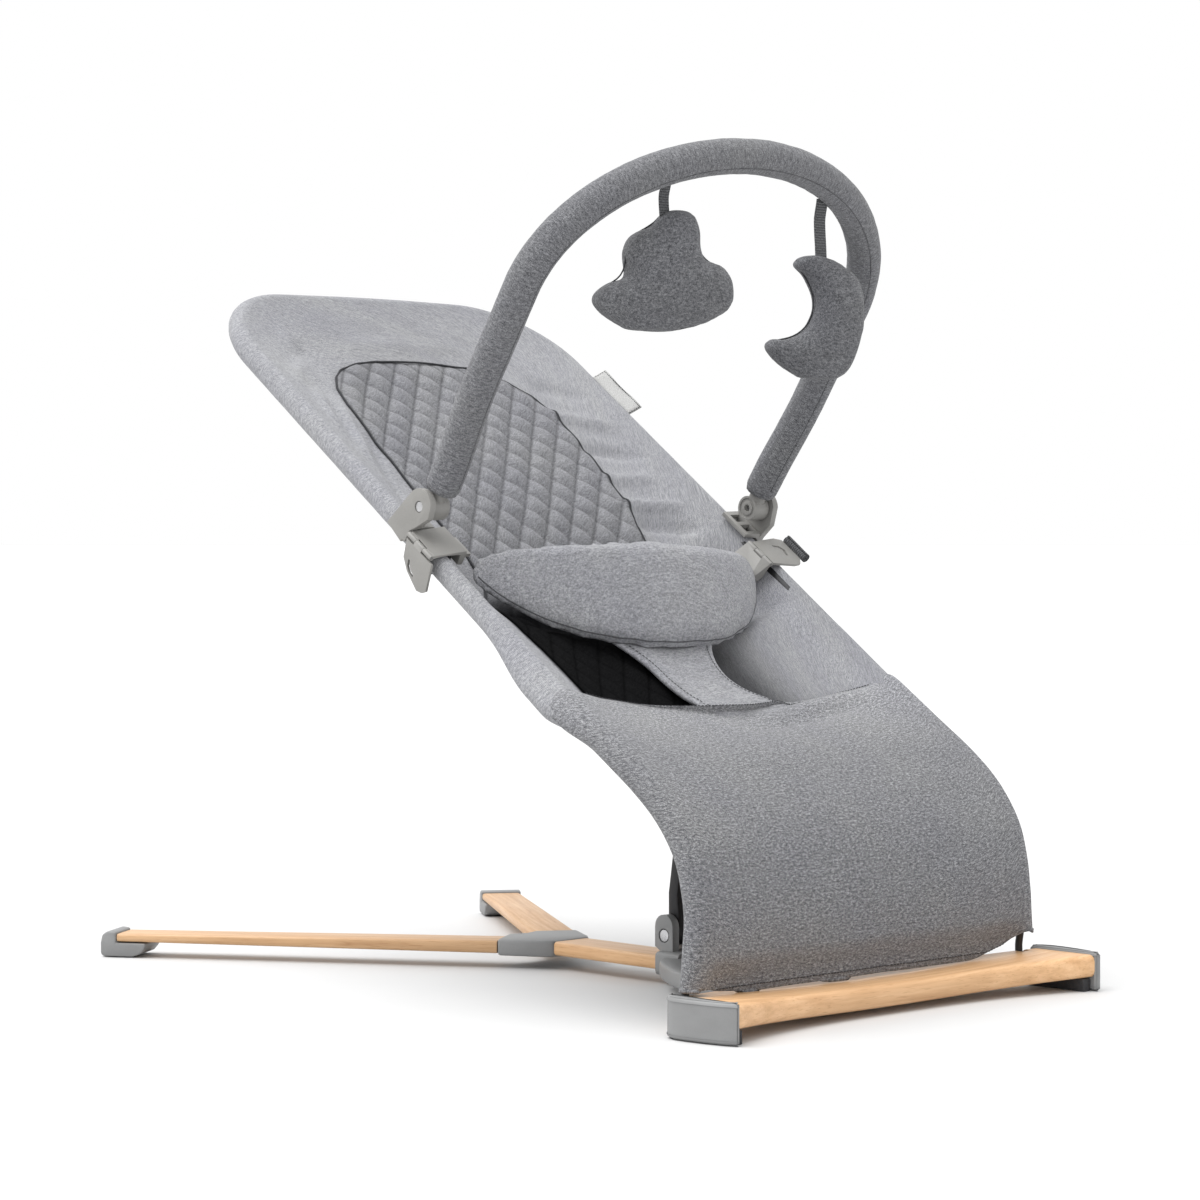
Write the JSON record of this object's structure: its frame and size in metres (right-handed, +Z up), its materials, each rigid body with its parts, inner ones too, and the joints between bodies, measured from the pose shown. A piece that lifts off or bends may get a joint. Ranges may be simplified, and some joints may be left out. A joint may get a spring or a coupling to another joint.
{
  "type": "baby bouncer seat",
  "caption": "Fabric sling seat on a tube frame, with a wooden base, a swinging recline strut, a buckled waist pad and a folding bar with hanging toys.",
  "frame": {"origin": "on the floor, in the middle of the footprint's bounding box", "axes": "+X to the right as seen from the front bar, +Y from the front bar towards the head end, +Z up"},
  "size_m": [0.482, 0.7414, 0.6704],
  "materials": {
    "oak": "satin varnish over straight grain",
    "grey_plastic": "fine matt moulding",
    "warm_plastic": "fine matt moulding",
    "rubber": "matt",
    "black_steel": "satin black powder coat",
    "steel": "plain",
    "fabric": "heathered grey weave",
    "plush": "heathered grey weave over filling",
    "webbing": "flat woven tape"
  },
  "bodies": {
    "base": {"front_crossbar": "oak", "front_cap_left": "grey_plastic", "front_cap_right": "grey_plastic", "front_foot_left": "rubber", "front_foot_right": "rubber", "front_yoke": "grey_plastic", "centre_beam": "oak", "rear_junction": "grey_plastic", "rear_leg_left": "oak", "rear_leg_right": "oak", "rear_cap_left": "grey_plastic", "rear_cap_right": "grey_plastic", "rear_foot_left": "rubber", "rear_foot_right": "rubber", "strut_bolt": "steel", "rod_pin_left": "steel", "rod_pin_right": "steel"},
    "strut": {"recline_strut": "black_steel", "strut_head": "black_steel"},
    "seat": {"seat_tube": "black_steel", "edge_sleeve": "fabric", "spring_rod_left": "steel", "spring_rod_right": "steel", "recline_track": "grey_plastic", "track_bow_front": "black_steel", "track_bow_rear": "black_steel", "back_panel": "fabric", "quilted_insert": "fabric", "front_apron": "fabric", "front_lining": "fabric", "waist_pad": "fabric", "crotch_stem": "fabric", "blank_tag": "webbing", "toy_bracket_left": "warm_plastic", "toy_bracket_right": "warm_plastic", "toy_pivot_screw_left": "steel", "toy_pivot_screw_right": "steel", "buckle_body_left": "warm_plastic", "buckle_body_right": "warm_plastic", "buckle_tongue_left": "warm_plastic", "buckle_tongue_right": "warm_plastic", "buckle_pin_left": "steel", "buckle_pin_right": "steel", "rail_strap_left": "webbing", "rail_strap_right": "webbing"},
    "buckle_lever_left": {"buckle_lever_left": "warm_plastic"},
    "buckle_lever_right": {"buckle_lever_right": "warm_plastic", "strap_roll": "webbing"},
    "toy_bar": {"toy_bar_tube": "warm_plastic", "toy_bar_sleeve": "fabric", "toy_knuckle_left": "warm_plastic", "toy_knuckle_right": "warm_plastic"},
    "cloud": {"cloud_strap": "webbing", "cloud_toy": "plush"},
    "moon": {"moon_strap": "webbing", "moon_toy": "plush"}
  },
  "joints": [
    {"name": "seat_recline", "type": "hinge", "parent": "base", "child": "seat", "pos_m": [0, -0.3032, 0.019], "axis": [1, 0, 0], "range_deg": [-15, 0]},
    {"name": "strut_swing", "type": "hinge", "parent": "base", "child": "strut", "pos_m": [0, -0.1032, 0.039], "axis": [1, 0, 0], "range_deg": [-43, 0]},
    {"name": "toy_bar_fold", "type": "hinge", "parent": "seat", "child": "toy_bar", "pos_m": [0, -0.0152, 0.383], "axis": [1, 0, 0], "range_deg": [-72, 50]},
    {"name": "cloud_swing", "type": "hinge", "parent": "toy_bar", "child": "cloud", "pos_m": [-0.0855, -0.17491, 0.62893], "axis": [1, 0, 0], "range_deg": [-35, 35]},
    {"name": "moon_swing", "type": "hinge", "parent": "toy_bar", "child": "moon", "pos_m": [0.093, -0.17339, 0.62659], "axis": [1, 0, 0], "range_deg": [-35, 35]},
    {"name": "left_buckle_flap", "type": "hinge", "parent": "seat", "child": "buckle_lever_left", "pos_m": [-0.1978, -0.01822, 0.35226], "axis": [0, 0.81, 0.5864], "range_deg": [0, 55]},
    {"name": "right_buckle_flap", "type": "hinge", "parent": "seat", "child": "buckle_lever_right", "pos_m": [0.17, -0.03386, 0.34402], "axis": [0, 0.81, 0.5864], "range_deg": [-60, 0]}
  ],
  "couplings": [
    {"joint": "strut_swing", "follows": "seat_recline", "ratio": 2.8}
  ]
}
